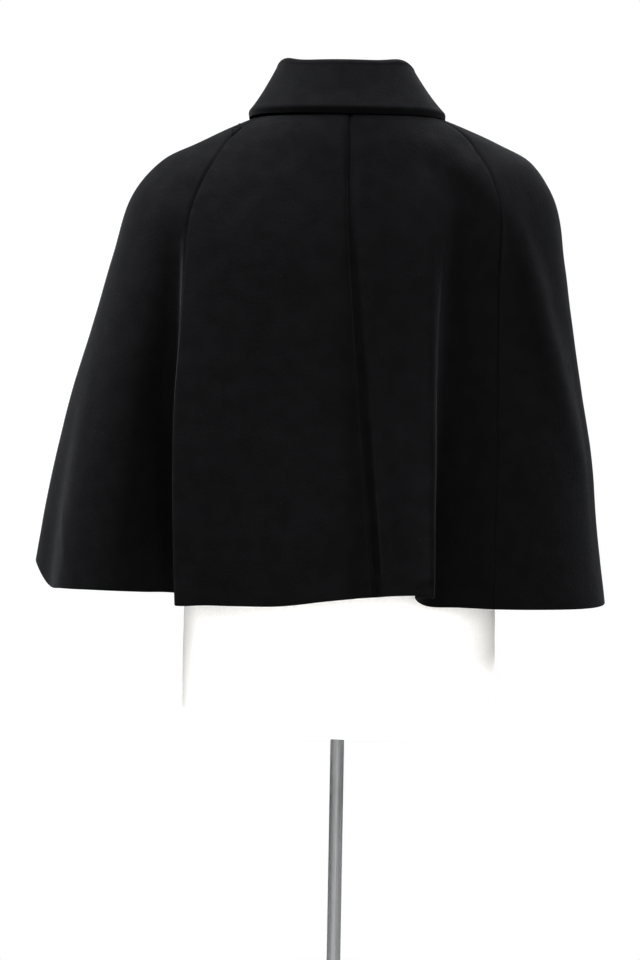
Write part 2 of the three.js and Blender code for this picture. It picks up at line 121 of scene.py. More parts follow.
def new_material(name, colour, roughness, metallic=0.0):
    """A material and its shader, with the node and link lists that the finish is built with."""
    finish = bpy.data.materials.new(name)
    finish.use_nodes = True
    shader = finish.node_tree.nodes["Principled BSDF"]
    shader.inputs["Base Color"].default_value = (*colour, 1)
    shader.inputs["Roughness"].default_value = roughness
    shader.inputs["Metallic"].default_value = metallic
    return finish, shader, finish.node_tree.nodes, finish.node_tree.links


def add_noise(nodes, links, scale, detail=2.0, stretch=(1, 1, 1)):
    """Cloudy values over the piece, in its own coordinates. scale is in waves per metre."""
    place = nodes.new("ShaderNodeTexCoord")
    spread = nodes.new("ShaderNodeMapping")
    spread.inputs["Scale"].default_value = stretch
    cloud = nodes.new("ShaderNodeTexNoise")
    cloud.inputs["Scale"].default_value = scale
    cloud.inputs["Detail"].default_value = detail
    links.new(place.outputs["Object"], spread.inputs["Vector"])
    links.new(spread.outputs["Vector"], cloud.inputs["Vector"])
    return cloud


def add_tones(nodes, links, value, dark, light, low=0.35, high=0.65):
    """A colour that runs from dark to light as value goes from low to high."""
    tones = nodes.new("ShaderNodeValToRGB")
    tones.color_ramp.elements[0].position = low
    tones.color_ramp.elements[0].color = (*dark, 1)
    tones.color_ramp.elements[1].position = high
    tones.color_ramp.elements[1].color = (*light, 1)
    links.new(value, tones.inputs["Fac"])
    return tones


def add_bump(nodes, links, height, shader, distance, strength=1.0, under=None):
    """A bump of the given depth in metres, on top of any bump under it."""
    bump = nodes.new("ShaderNodeBump")
    bump.inputs["Distance"].default_value = distance
    bump.inputs["Strength"].default_value = strength
    links.new(height, bump.inputs["Height"])
    if under is not None:
        links.new(under.outputs["Normal"], bump.inputs["Normal"])
    links.new(bump.outputs["Normal"], shader.inputs["Normal"])
    return bump


FLOOR_R = 1700
FLOOR_CLEAR_R = 900
FLOOR_STEPS = 96
floor_turns = [2 * math.pi * i / FLOOR_STEPS for i in range(FLOOR_STEPS)]
floor_ring = [(FLOOR_R * math.cos(a), FLOOR_R * math.sin(a), 0) for a in floor_turns]
floor = build_mesh("floor", floor_ring, [range(FLOOR_STEPS)])
pale, pale_shader, nodes, links = new_material("pale_floor", (0.85, 0.85, 0.84), 0.6)
place = nodes.new("ShaderNodeTexCoord")
reach_out = nodes.new("ShaderNodeVectorMath")
reach_out.operation = "LENGTH"
fade = nodes.new("ShaderNodeMapRange")
fade.inputs["From Min"].default_value = FLOOR_CLEAR_R * MM
fade.inputs["From Max"].default_value = FLOOR_R * MM
fade.inputs["To Min"].default_value = 1
fade.inputs["To Max"].default_value = 0
links.new(place.outputs["Object"], reach_out.inputs[0])
links.new(reach_out.outputs["Value"], fade.inputs["Value"])
links.new(fade.outputs["Result"], pale_shader.inputs["Alpha"])
floor.data.materials.append(pale)

# Stand
# A heavy round steel base, painted dark, with a welded socket that takes the pole. The pole is a
# brushed steel tube that runs up into the dress form.
BASE_R = 170
BASE_T = 8
SOCKET_FOOT = 8.3
SOCKET_TOP = 42
SOCKET_R = 17
SOCKET_BORE_R = 8.5
SOCKET_SEAT = 39
POLE_R = 7.5
POLE_FOOT = 42.3
POLE_TOP = 654.7
TURN_STEPS = 96
EDGE_R = 2
POLE_EDGE_R = 0.6
ARC_STEPS = 5
ARC_LIMIT = 2.1


def rounded(outline, radius):
    """The outline with each inner corner turned into an arc that starts radius before it."""
    path = [np.array(outline[0], float)]
    for before, corner, after in zip(outline, outline[1:], outline[2:]):
        before, corner, after = (np.array(p, float) for p in (before, corner, after))
        back = before - corner
        on = after - corner
        reach_back = min(radius, np.linalg.norm(back) / ARC_LIMIT)
        reach_on = min(radius, np.linalg.norm(on) / ARC_LIMIT)
        start = corner + back / np.linalg.norm(back) * reach_back
        end = corner + on / np.linalg.norm(on) * reach_on
        for s in np.linspace(0, 1, ARC_STEPS):
            path.append((1 - s) ** 2 * start + 2 * s * (1 - s) * corner + s * s * end)
    path.append(np.array(outline[-1], float))
    return path


def ring_faces(rings, steps):
    """Faces over a stack of rings, closed by a foot point and a top point that follow the rings."""
    faces = []
    for j in range(rings - 1):
        for i in range(steps):
            a = j * steps + i
            b = j * steps + (i + 1) % steps
            faces.append((a, b, b + steps, a + steps))
    foot = rings * steps
    last = foot - steps
    for i in range(steps):
        faces.append((foot, (i + 1) % steps, i))
        faces.append((foot + 1, last + i, last + (i + 1) % steps))
    return faces


def turned(outline):
    """Points and faces of a body turned about the pole's line, from a foot to a top on the line."""
    inner = outline[1:-1]
    angles = 2 * np.pi * np.arange(TURN_STEPS) / TURN_STEPS
    points = [(r * math.cos(a), r * math.sin(a), z) for r, z in inner for a in angles]
    points += [(0, 0, outline[0][1]), (0, 0, outline[-1][1])]
    return points, ring_faces(len(inner), TURN_STEPS)


base = build_mesh("stand_base", *turned(rounded(
    [(0, 0), (BASE_R, 0), (BASE_R, BASE_T), (0, BASE_T)], EDGE_R)))
socket = build_mesh("stand_socket", *turned(rounded(
    [(0, SOCKET_FOOT), (SOCKET_R, SOCKET_FOOT), (SOCKET_R, SOCKET_TOP), (SOCKET_BORE_R, SOCKET_TOP),
     (SOCKET_BORE_R, SOCKET_SEAT), (0, SOCKET_SEAT)], EDGE_R)))
pole = build_mesh("stand_pole", *turned(rounded(
    [(0, POLE_FOOT), (POLE_R, POLE_FOOT), (POLE_R, POLE_TOP), (0, POLE_TOP)], POLE_EDGE_R)))

paint, paint_shader, nodes, links = new_material("painted_steel", (0.03, 0.03, 0.032), 0.45)
paint_grain = add_noise(nodes, links, 900)
add_bump(nodes, links, paint_grain.outputs["Fac"], paint_shader, 0.00015, 0.5)
paint_shader.inputs["Coat Weight"].default_value = 0.15

steel, steel_shader, nodes, links = new_material("brushed_steel", (0.5, 0.5, 0.51), 0.6, metallic=0.6)
streaks = add_noise(nodes, links, 700, 3, (1, 1, 0.01))
steel_tones = add_tones(
    nodes, links, streaks.outputs["Fac"], (0.17, 0.175, 0.178), (0.21, 0.216, 0.22))
links.new(steel_tones.outputs["Color"], steel_shader.inputs["Base Color"])
add_bump(nodes, links, streaks.outputs["Fac"], steel_shader, 0.00006, 0.4)

form_light.objects.link(pole)
for piece, finish, node, slot in ((base, paint, "base", "base"), (socket, paint, "socket", "base"),
                                  (pole, steel, "pole", "pole")):
    piece.data.materials.append(finish)
    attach(piece, "root")
    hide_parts(node)

# Dress form
# A limbless padded form with a white cotton jersey stretched smoothly over it and turned under
# at the foot. The cape hangs on its shoulders.


def table(columns, *rows):
    """A short table as arrays, one for each named column."""
    return {name: np.array(values, float) for name, values in zip(columns.split(), zip(*rows))}


def read_curve(knots, values, x):
    """Smooth curves through values at the places knots, read at x. The last axis is the place."""
    slope = np.diff(values, axis=-1) / np.diff(knots)
    between = (slope[..., 1:] + slope[..., :-1]) / 2
    tangent = np.concatenate([slope[..., :1], between, slope[..., -1:]], axis=-1)
    i = np.clip(np.searchsorted(knots, x) - 1, 0, len(knots) - 2)
    width = np.diff(knots)[i]
    s = np.clip((x - knots[i]) / width, 0, 1)

    def at(curve, k):
        return np.take_along_axis(np.broadcast_to(curve, i.shape[:-1] + curve.shape[-1:]), k, axis=-1)

    return ((2 * s ** 3 - 3 * s ** 2 + 1) * at(values, i)
            + (s ** 3 - 2 * s ** 2 + s) * width * at(tangent, i)
            + (3 * s ** 2 - 2 * s ** 3) * at(values, i + 1)
            + (s ** 3 - s ** 2) * width * at(tangent, i + 1))


FORM = table(
    "z side back front round",
    (655, 142, 86, 78, 2), (657, 152, 96, 86, 2), (663, 163, 105, 94, 2), (675, 169.5, 110, 99, 2),
    (700, 171, 112, 101, 2), (760, 171, 114, 102, 2), (810, 169, 113, 103, 2), (870, 154, 102, 101, 2),
    (940, 130, 88, 94, 2), (985, 131, 87, 95, 2), (1040, 145, 95, 112, 2), (1095, 159, 103, 130, 2),
    (1145, 167, 107, 126, 2), (1190, 178, 106, 112, 2), (1225, 190, 102, 100, 2), (1248, 195, 97, 92, 1.9),
    (1266, 194, 91, 82, 1.8), (1280, 187, 85, 72, 1.65), (1289, 174, 80, 65, 1.5),
    (1297, 159, 76, 61, 1.4), (1306, 140, 70, 58, 1.3), (1316, 117.5, 64, 56, 1.2),
    (1324, 95, 59, 55, 1.2), (1330, 73, 55, 55, 1.3),
    (1336, 59, 51, 54, 1.8), (1345, 54, 48, 53, 2), (1357, 52, 46, 52, 2), (1366, 51, 45, 51, 2),
    (1369, 47, 41, 47, 2))
FORM_STEPS = 160
FORM_ROWS = 230

form_knots = np.concatenate([[0], np.cumsum(np.hypot(np.diff(FORM["z"]), np.diff(FORM["side"])))])
form_rows = np.linspace(0, form_knots[-1], FORM_ROWS)
form_size = {name: read_curve(form_knots, values, form_rows) for name, values in FORM.items()}
form_turns = 2 * np.pi * np.arange(FORM_STEPS) / FORM_STEPS
form_sin = np.sin(form_turns)
form_cos = np.cos(form_turns)
form_points = []
for j in range(FORM_ROWS):
    bend = 2 / form_size["round"][j]
    across = np.sign(form_sin) * np.abs(form_sin) ** bend
    along = np.sign(form_cos) * np.abs(form_cos) ** bend
    depth = np.where(form_cos > 0, form_size["back"][j], form_size["front"][j])
    z = [form_size["z"][j]] * FORM_STEPS
    form_points += list(zip(form_size["side"][j] * across, -depth * along, z))
form_points += [(0, 0, FORM["z"][0]), (0, 0, FORM["z"][-1])]
form = build_mesh("dress_form", form_points, ring_faces(FORM_ROWS, FORM_STEPS))

jersey, jersey_shader, nodes, links = new_material("white_jersey", (0.88, 0.87, 0.85), 0.85)
jersey_shader.inputs["Specular IOR Level"].default_value = 0.2
knit = add_noise(nodes, links, 500, 2, (1, 1, 0.6))
knit_tones = add_tones(
    nodes, links, knit.outputs["Fac"], (0.86, 0.85, 0.835), (0.90, 0.89, 0.875))
links.new(knit_tones.outputs["Color"], jersey_shader.inputs["Base Color"])
add_bump(nodes, links, knit.outputs["Fac"], jersey_shader, 0.0003, 0.3)
form.data.materials.append(jersey)
form_light.objects.link(form)
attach(form, "root")
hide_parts("form_body")

# Cape cloth
# A short flared cape of thick black wool in eight panels, sewn edge to edge and open down the
# front. It hangs from the shoulders in a few deep soft folds. Sizes are in millimetres.
CLOTH = 2.6
LAP = 22
LAP_LIFT = CLOTH + 0.5
LAP_START = 25
LAP_END = 48
REACH = table(
    "down left right back front",
    (0, 67, 67, 62, 76), (0.045, 96, 97, 81, 88), (0.09, 124, 126, 92, 99),
    (0.17, 166, 167, 103, 114), (0.235, 202, 202, 112, 126),
    (0.31, 234, 227, 121, 137), (0.42, 256, 240, 131, 146), (0.54, 276, 251, 142, 151),
    (0.65, 296, 262, 153, 155), (0.76, 311, 274, 165, 159), (0.87, 323, 280, 177, 163),
    (1, 334.5, 291, 190, 168))
HEIGHT = table(
    "down left right back front",
    (0, 1338, 1338, 1343, 1292), (0.045, 1328, 1329, 1325, 1273), (0.09, 1317, 1319, 1299, 1254),
    (0.17, 1297, 1301, 1256, 1216), (0.235, 1279, 1282, 1218, 1185),
    (0.31, 1242, 1243, 1177, 1148), (0.42, 1172, 1172, 1117, 1092),
    (0.54, 1098, 1098, 1052, 1032), (0.65, 1030, 1030, 991, 977), (0.76, 960, 960, 931, 921),
    (0.87, 890, 890, 871, 866), (1, 806, 803, 799, 802))
SEAM_LINES = table(
    "down back front",
    (0, 72, 112), (0.13, 60, 118), (0.21, 51, 126), (0.3, 46, 132), (0.42, 42.5, 137), (0.55, 40, 140),
    (0.75, 36.5, 143), (1, 33, 147))
PANELS = ("front_left", "side_front_left", "side_back_left", "back_left", "back_right",
          "side_back_right", "side_front_right", "front_right")
FOLDS = table(
    "panel across out along rise start",
    (0, 0, 0, 0, 0, 0.3), (0, 0.3, 1, 0, 0, 0.3), (0, 0.66, 9, 0, 0, 0.3),
    (1, 0, -12, 0, 2, 0.3), (1, 0.22, -20, 0, 4, 0.3), (1, 0.6, 4, 0, 16, 0.35),
    (2, 0, 1, 0, 30, 0.6), (2, 0.25, -8, 3, 6, 0.45), (2, 0.45, 2, 11, 6, 0.4), (2, 0.62, -3, 17, 7, 0.34),
    (2, 0.73, -17, 8, 7, 0.33), (2, 0.82, -49.5, -1.5, 6, 0.32), (2, 0.89, -86, -7, 5, 0.31),
    (2, 0.935, -97, 2.5, 3, 0.31), (2, 0.965, -59, 14, 0, 0.31), (2, 0.984, -12, 15.5, -1, 0.31),
    (2, 0.993, 2, 16, -1.5, 0.31),
    (3, 0, 11.5, 15.5, -2, 0.31), (3, 0.008, 12.5, 16.5, -2, 0.31), (3, 0.05, 8, 18, -2, 0.3),
    (3, 0.15, -0.5, 15, -1, 0.3), (3, 0.32, -13, 13, -1, 0.3), (3, 0.55, -17.5, 17.5, 0, 0.3),
    (3, 0.8, -13.5, 23.5, 7, 0.28), (3, 0.93, -13, 25, 10, 0.25),
    (4, 0, -27, 31.5, 11, 0.2), (4, 0.03, -33, 32.5, 11, 0.2), (4, 0.08, -27, 31.5, 12, 0.2),
    (4, 0.14, -19, 30.5, 13, 0.2), (4, 0.26, -12.5, 28.5, 14, 0.18), (4, 0.37, -4, 22.5, 14, 0.15),
    (4, 0.48, 4.5, 13.5, 13, 0.08), (4, 0.55, -11, 6.5, 11, 0.06), (4, 0.63, -30.5, -16.5, 10, 0.05),
    (4, 0.73, -56, -11.5, 0, 0.02), (4, 0.87, -50, -1, -1, 0.03),
    (5, 0, -29, 12, -2, 0.06), (5, 0.22, -8, 15, -3, 0.3), (5, 0.58, 1, 4, -4, 0.4),
    (6, 0, 0, 0, -2, 0.4), (6, 0.35, 5, 0, 3, 0.35), (6, 0.75, -18, 0, 2, 0.3),
    (7, 0, -12, 0, 0, 0.3), (7, 0.35, 8, 0, -2, 0.3), (7, 0.7, 1, 0, 0, 0.3), (7, 1, 0, 0, 0, 0.3))
FOLD_PANEL = FOLDS["panel"].astype(int)
FOLD_SOFTNESS = 0.12
SLOPE_STEP = 0.01
NORMAL_STEP_DOWN = 0.002
NORMAL_STEP_ROUND = 0.5


def panel_edges(downs):
    """Bearings of the nine panel edges, a row for each height, from left front to right front."""
    back = read_curve(SEAM_LINES["down"], SEAM_LINES["back"], downs)
    front = read_curve(SEAM_LINES["down"], SEAM_LINES["front"], downs)
    edge = 180 + np.degrees(np.arcsin(LAP / read_curve(REACH["down"], REACH["right"], downs)))
    side = np.full_like(downs, 90.0)
    return np.stack([-edge, -front, -side, -back, 0 * side, back, side, front, edge], axis=1)


def fold_bearings(downs):
    """The bearing of each fold's line at each height."""
    edges = panel_edges(downs)
    first = edges[:, FOLD_PANEL]
    return first + (edges[:, FOLD_PANEL + 1] - first) * FOLDS["across"]


def smooth_section(bearing, downs):
    """The cloth without its folds at each bearing: its points, and outward directions."""
    angle = np.radians(bearing)
    sin = np.sin(angle)
    cos = np.cos(angle)
    sides = ("left", "right", "back", "front")
    reach = {side: read_curve(REACH["down"], REACH[side], downs)[:, None] for side in sides}
    height = {side: read_curve(HEIGHT["down"], HEIGHT[side], downs)[:, None] for side in sides}
    half = np.where(sin < 0, reach["left"], reach["right"])
    depth = np.where(cos > 0, reach["back"], reach["front"])
    end_z = np.where(cos > 0, height["back"], height["front"])
    side_z = np.where(sin < 0, height["left"], height["right"])
    points = np.stack([half * sin, -depth * cos, end_z + (side_z - end_z) * sin ** 2], axis=-1)
    out = np.stack([sin / half, -cos / depth, 0 * sin], axis=-1)
    return points, out / np.linalg.norm(out, axis=-1, keepdims=True)


def opened(downs):
    """How far each fold has opened at each height: nothing at its start and all at the hem."""
    share = np.maximum(0, (downs[:, None] - FOLDS["start"]) / (1 - FOLDS["start"]))
    return share ** 2 * (1 + FOLD_SOFTNESS) / (share + FOLD_SOFTNESS)


HEM = np.array([1.0])
hem_points, hem_out = smooth_section(fold_bearings(HEM), HEM)
hem_points = hem_points[0]
hem_out = hem_out[0]
hem_along = np.stack([-hem_out[:, 1], hem_out[:, 0], 0 * hem_out[:, 0]], axis=-1)
FOLD_SHIFT = FOLDS["out"][:, None] * hem_out + FOLDS["along"][:, None] * hem_along
FOLD_SHIFT[:, 2] += FOLDS["rise"]
hem_steps = np.linalg.norm(np.diff(hem_points + FOLD_SHIFT, axis=0), axis=1)
KNOTS = np.concatenate([[0], np.cumsum(hem_steps)])


def lap_lift(x, downs):
    """The upper front lies out over the lower one, square to the front's slope."""
    above = np.maximum(downs - SLOPE_STEP, 0)
    below = np.minimum(downs + SLOPE_STEP, 1)
    reach_above, reach_below = (
        read_curve(REACH["down"], REACH["front"], down) for down in (above, below))
    height_above, height_below = (
        read_curve(HEIGHT["down"], HEIGHT["front"], down) for down in (above, below))
    forward = reach_below - reach_above
    fall = height_above - height_below
    s = np.clip((x - LAP_START) / (LAP_END - LAP_START), 0, 1)
    lift = LAP_LIFT * (1 - s * s * (3 - 2 * s))
    slope = np.stack([0 * fall, fall, forward], axis=-1)
    slope /= np.linalg.norm(slope, axis=-1, keepdims=True)
    return lift[..., None] * slope[:, None, :]


def cloth_points(rounds, downs):
    """The outer face of the cloth. rounds are places along the hem, a row for each height."""
    bearing = read_curve(KNOTS, fold_bearings(downs), rounds)
    points = smooth_section(bearing, downs)[0]
    share = opened(downs)
    for axis in range(3):
        points[..., axis] += read_curve(KNOTS, share * FOLD_SHIFT[:, axis], rounds)
    over = (bearing > 90)[..., None]
    return points + over * lap_lift(points[..., 0], downs)


def cloth_normals(rounds, downs):
    """The cloth's outward directions, from short steps along it."""
    low = np.minimum(downs + NORMAL_STEP_DOWN, 1)
    high = np.maximum(downs - NORMAL_STEP_DOWN, 0)
    step = NORMAL_STEP_ROUND
    across = cloth_points(rounds + step, downs) - cloth_points(rounds - step, downs)
    fall = cloth_points(rounds, low) - cloth_points(rounds, high)
    normals = np.cross(fall, across)
    return normals / np.linalg.norm(normals, axis=-1, keepdims=True)


# Cape creases
# Soft ridges and troughs that the thick wool takes as it hangs and is handled. A crease runs
# between two places, given as bearings and shares of the way down.
CREASES = table(
    "bearing_a down_a bearing_b down_b bearing_c down_c height width",
    (40, 0.10, 51, 0.38, 68, 0.80, 9.5, 36),
    (46, 0.20, 52, 0.30, 60, 0.40, -1.2, 20),
    (0.9, 0.04, 1.3, 0.5, 1.6, 1.4, -5.0, 9),
    (10, 0.55, 14, 0.80, 16, 0.99, 1.4, 15),
    (9, 0.988, 13, 0.97, 16, 0.972, 1.6, 7),
    (-72, 0.85, -66, 0.93, -60, 0.99, 1.0, 12),
    (-78, 0.40, -68, 0.62, -64, 0.85, -1.3, 30),
    (-60, 0.22, -56, 0.34, -50, 0.46, 1.2, 24),
    (-40, 0.45, -37, 0.62, -35, 0.80, 0.9, 18),
    (-24, 0.10, -30, 0.20, -33, 0.32, -0.7, 22),
    (20, 0.10, 30, 0.18, 38, 0.26, -0.8, 20),
    (-12, 0.55, -14, 0.75, -17, 0.97, -0.7, 26),
    (72, 0.50, 76, 0.72, 74, 0.96, -1.4, 22),
    (84, 0.28, 92, 0.42, 96, 0.60, 1.6, 18),
    (104, 0.30, 112, 0.50, 116, 0.78, -2.0, 24),
    (124, 0.45, 128, 0.68, 130, 0.97, 2.2, 20),
    (140, 0.16, 133, 0.27, 126, 0.38, -1.4, 20),
    (150, 0.50, 154, 0.72, 156, 0.98, -1.6, 22),
    (164, 0.30, 160, 0.46, 159, 0.60, 1.0, 20),
    (-96, 0.30, -100, 0.48, -98, 0.70, 1.8, 20),
    (-108, 0.40, -114, 0.60, -118, 0.95, -2.2, 24),
    (-128, 0.22, -124, 0.36, -120, 0.52, 1.5, 20),
    (-138, 0.50, -136, 0.72, -134, 0.98, 1.8, 20),
    (-150, 0.18, -144, 0.28, -138, 0.40, -1.2, 20),
    (-158, 0.45, -155, 0.66, -156, 0.90, -1.4, 24))
CREASE_STEPS = 24
CREASE_TAPER = 0.8
CREASE_SPREAD = 0.6
FAR_OFF = 1e9
SWELL_HEIGHT = 0.55
SWELL_LENGTHS = (75, 75, 130)
RIPPLE_HEIGHT = 0.22
RIPPLE_LENGTH = 26
RIPPLE_SHIFT = 40


def rounds_at(bearings, downs):
    """The places along the hem that lie at these bearings, one for each height."""
    lines = fold_bearings(downs)
    return np.array([np.interp(b, line, KNOTS) for b, line in zip(bearings, lines)])


def crease_height(points):
    """How far the creases move each point of the cloth out."""
    rise = np.zeros(points.shape[:-1])
    s = np.linspace(0, 1, CREASE_STEPS)
    for k in range(len(CREASES["height"])):
        a, b, c = (np.array([CREASES[f"bearing_{p}"][k], CREASES[f"down_{p}"][k]]) for p in "abc")
        bend = 2 * b - (a + c) / 2
        path = np.outer((1 - s) ** 2, a) + np.outer(2 * s * (1 - s), bend) + np.outer(s * s, c)
        line = cloth_points(rounds_at(path[:, 0], path[:, 1])[:, None], path[:, 1])[:, 0]
        nearest = np.full(points.shape[:-1], FAR_OFF)
        share = np.zeros(points.shape[:-1])
        for i in range(CREASE_STEPS - 1):
            step = line[i + 1] - line[i]
            t = np.clip(((points - line[i]) @ step) / (step @ step), 0, 1)
            gap = np.linalg.norm(points - line[i] - t[..., None] * step, axis=-1)
            closer = gap < nearest
            nearest = np.where(closer, gap, nearest)
            share = np.where(closer, (i + t) / (CREASE_STEPS - 1), share)
        taper = np.sin(np.pi * np.clip(share, 0.0, 1.0)) ** CREASE_TAPER
        spread = CREASE_SPREAD * CREASES["width"][k]
        rise += CREASES["height"][k] * taper * np.exp(-(nearest / spread) ** 2)
    return rise


def soft_swell(points):
    """The slight unevenness of thick hanging wool."""
    flat = points.reshape(-1, 3)
    swell = [noise.noise(Vector(p / SWELL_LENGTHS)) for p in flat]
    ripple = [noise.noise(Vector(p / RIPPLE_LENGTH + RIPPLE_SHIFT)) for p in flat]
    height = SWELL_HEIGHT * np.array(swell) + RIPPLE_HEIGHT * np.array(ripple)
    return height.reshape(points.shape[:-1])


# Cape panels
# Each panel is cut from one layer of wool coating and sewn to the next. A seam shows as a fine
# groove, with the edge of the panel farther from the back's middle a little lower. The hem is
# turned in, and so a little thick.
FALL = 545.0
HALF = CLOTH / 2
GRID = 3.4
FINE_STEPS = 420
EDGE_STEPS = np.array([0.015, 0.12, 0.4, 0.8, 1.3, 2.0, 3.2])
HEM_TURN = 32
HEM_EXTRA = 0.9
SEAM_EDGE_R = 1.2
HIGH_EDGE_DIP = 0.5
LOW_EDGE_DIP = 2.1
SEAM_DIP_WIDTH = 3.0
NECK_CALM = 40


def edge_round(distance, radius, half):
    """Half a cloth's thickness at a distance from an edge that is rounded over radius."""
    s = np.clip(distance / radius, 0, 1)
    return half * np.sqrt(np.maximum(0, 1 - (1 - s) ** 2))


def shell(middle, normals, outside, inside):
    """Closed points and faces round the middle of a cloth, with its two thicknesses."""
    rows, columns = outside.shape
    grid = np.arange(rows * columns).reshape(rows, columns)
    rim = np.ones((rows, columns), bool)
    rim[1:-1, 1:-1] = False
    under = grid.copy()
    under[~rim] = rows * columns + np.arange((~rim).sum())
    points = np.concatenate([(middle + normals * outside[..., None]).reshape(-1, 3),
                             (middle - normals * inside[..., None])[~rim]])
    points[grid[rim]] = (middle + normals * ((outside - inside) / 2)[..., None])[rim]
    top = np.stack([grid[:-1, :-1], grid[1:, :-1], grid[1:, 1:], grid[:-1, 1:]], axis=-1)
    bottom = np.stack([under[:-1, :-1], under[:-1, 1:], under[1:, 1:], under[1:, :-1]], axis=-1)
    return points, np.concatenate([top.reshape(-1, 4), bottom.reshape(-1, 4)])


def hung_height(face, from_top):
    """How far the cloth lies off its main form at each point, calm at the neck seam."""
    return (crease_height(face) + soft_swell(face)) * (1 - np.exp(-(from_top / NECK_CALM) ** 2))


def panel_shell(panel):
    """Points and faces of one panel, and the smooth outer face that its cut is measured on."""
    index = PANELS.index(panel)
    final = index == len(PANELS) - 1
    first = KNOTS[np.argmax(FOLD_PANEL == index)]
    last = KNOTS[-1] if final else KNOTS[np.argmax(FOLD_PANEL == index + 1)]
    inner_rows = np.arange(EDGE_STEPS[-1] + GRID, FALL - EDGE_STEPS[-1] - GRID / 2, GRID)
    from_top = np.concatenate([EDGE_STEPS, inner_rows, FALL - EDGE_STEPS[::-1]])
    downs = from_top / FALL

    fine = np.linspace(first, last, FINE_STEPS)
    fine_face = cloth_points(np.tile(fine, (len(downs), 1)), downs)
    along = np.linalg.norm(np.diff(fine_face, axis=1), axis=-1)
    along = np.pad(np.cumsum(along, axis=1), ((0, 0), (1, 0)))
    width = along[:, -1:]
    columns = int(width[-1, 0] / GRID)
    shares = (np.arange(columns) + 0.5) / columns
    between = EDGE_STEPS[-1] + (width - 2 * EDGE_STEPS[-1]) * shares
    from_left = np.concatenate([EDGE_STEPS + 0 * width, between, width - EDGE_STEPS[::-1]], axis=1)
    from_right = width - from_left
    rounds = np.array([np.interp(row, lengths, fine) for row, lengths in zip(from_left, along)])
    face = cloth_points(rounds, downs)
    normals = cloth_normals(rounds, downs)
    from_hem = (FALL - from_top)[:, None]
    outside = np.full(face.shape[:-1], HALF)
    inside = outside.copy()
    middle = face - normals * CLOTH / 2
    rise = hung_height(face, from_top[:, None])
    dip = np.zeros_like(rise)
    middle_panel = PANELS.index("back_left")
    left_dip = LOW_EDGE_DIP if index > middle_panel else HIGH_EDGE_DIP
    right_dip = LOW_EDGE_DIP if index < middle_panel else HIGH_EDGE_DIP
    free_edges = [from_hem, from_top[:, None]]
    for distance, free, edge_dip in ((from_left, index == 0, left_dip), (from_right, final, right_dip)):
        if free:
            free_edges.append(distance)
        else:
            outside = np.minimum(outside, edge_round(distance, SEAM_EDGE_R, HALF))
            dip -= edge_dip * np.exp(-(distance / SEAM_DIP_WIDTH) ** 2)
    for distance in free_edges:
        outside = np.minimum(outside, edge_round(distance, HALF, HALF))
        inside = np.minimum(inside, edge_round(distance, HALF, HALF))
    middle = middle + normals * (rise + dip)[..., None]
    extra = HEM_EXTRA * np.sqrt(np.clip(1 - from_hem / HEM_TURN, 0, 1)) * (inside / HALF)
    points, faces = shell(middle, normals, outside, inside + extra)
    return points, faces, face


wool, wool_shader, nodes, links = new_material("black_wool", (0.0075, 0.0076, 0.0082), 0.92)
wool_shader.inputs["Specular IOR Level"].default_value = 0.0
wool_shader.inputs["Sheen Weight"].default_value = 0.06
wool_shader.inputs["Sheen Roughness"].default_value = 0.4
wool_shader.inputs["Sheen Tint"].default_value = (0.9, 0.92, 1.0, 1)
cloud = add_noise(nodes, links, 60, 3)
wool_tones = add_tones(
    nodes, links, cloud.outputs["Fac"], (0.0066, 0.0067, 0.0072), (0.0084, 0.0085, 0.0092))
lint = nodes.new("ShaderNodeTexVoronoi")
lint.inputs["Scale"].default_value = 85
lint_place = nodes.new("ShaderNodeTexCoord")
links.new(lint_place.outputs["Object"], lint.inputs["Vector"])
lint_spot = nodes.new("ShaderNodeMapRange")
lint_spot.inputs["From Min"].default_value = 0.05
lint_spot.inputs["From Max"].default_value = 0.035
links.new(lint.outputs["Distance"], lint_spot.inputs["Value"])
with_lint = nodes.new("ShaderNodeMix")
with_lint.data_type = "RGBA"
with_lint.inputs["B"].default_value = (0.03, 0.03, 0.031, 1)
links.new(lint_spot.outputs["Result"], with_lint.inputs["Factor"])
links.new(wool_tones.outputs["Color"], with_lint.inputs["A"])
links.new(with_lint.outputs["Result"], wool_shader.inputs["Base Color"])
felt = add_noise(nodes, links, 330, 3)
felt_bump = add_bump(nodes, links, felt.outputs["Fac"], wool_shader, 0.0009, 0.5)
nap = add_noise(nodes, links, 1500, 2)
add_bump(nodes, links, nap.outputs["Fac"], wool_shader, 0.0006, 0.6, under=felt_bump)

for panel in PANELS:
    panel_points, panel_faces, panel_face = panel_shell(panel)
    piece = build_mesh("cape_" + panel, panel_points, panel_faces)
    piece.data.materials.append(wool)
    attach(piece, "root")
    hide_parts(panel)

# Collar
# A one-piece turned-down collar of two layers of the same wool, about 4 mm thick. It stands up
# from the neck seam, rolls over and falls on the shoulders, and its ends part at the front.
COLLAR_CLOTH = 4.2
COLLAR_HALF = COLLAR_CLOTH / 2
STAND_FOOT = {"side": 63.6, "back": 57, "front": 70.6, "shift": 0,
              "side_z": 1336.5, "back_z": 1341.5, "front_z": 1290.5, "corners": []}
ROLL = {"side": 70, "back": 60, "front": 75, "shift": -3.5,
        "side_z": 1377.5, "back_z": 1376, "front_z": 1328, "corners": [(-68, 5.5), (56, 4.5)]}
ROLL_R = 4.3
CORNER_WIDTH = 20
FALL_EDGE = {"side": 110, "back": 88, "front": 108, "shift": -1,
             "side_z": 1328.5, "back_z": 1322, "front_z": 1266, "corners": []}
FOOT_EDGE_R = 1.0
EDGE_EXTRA = 1.0
EDGE_EXTRA_WIDTH = 14
EDGE_FACE = 5.0
CALM_STAND = 30
FALL_SAG = 6
FOOT_END = 177
FALL_END = 160
HALF_LENGTH = 330
HALF_SHARE = 0.985
FALL_LENGTH = 55
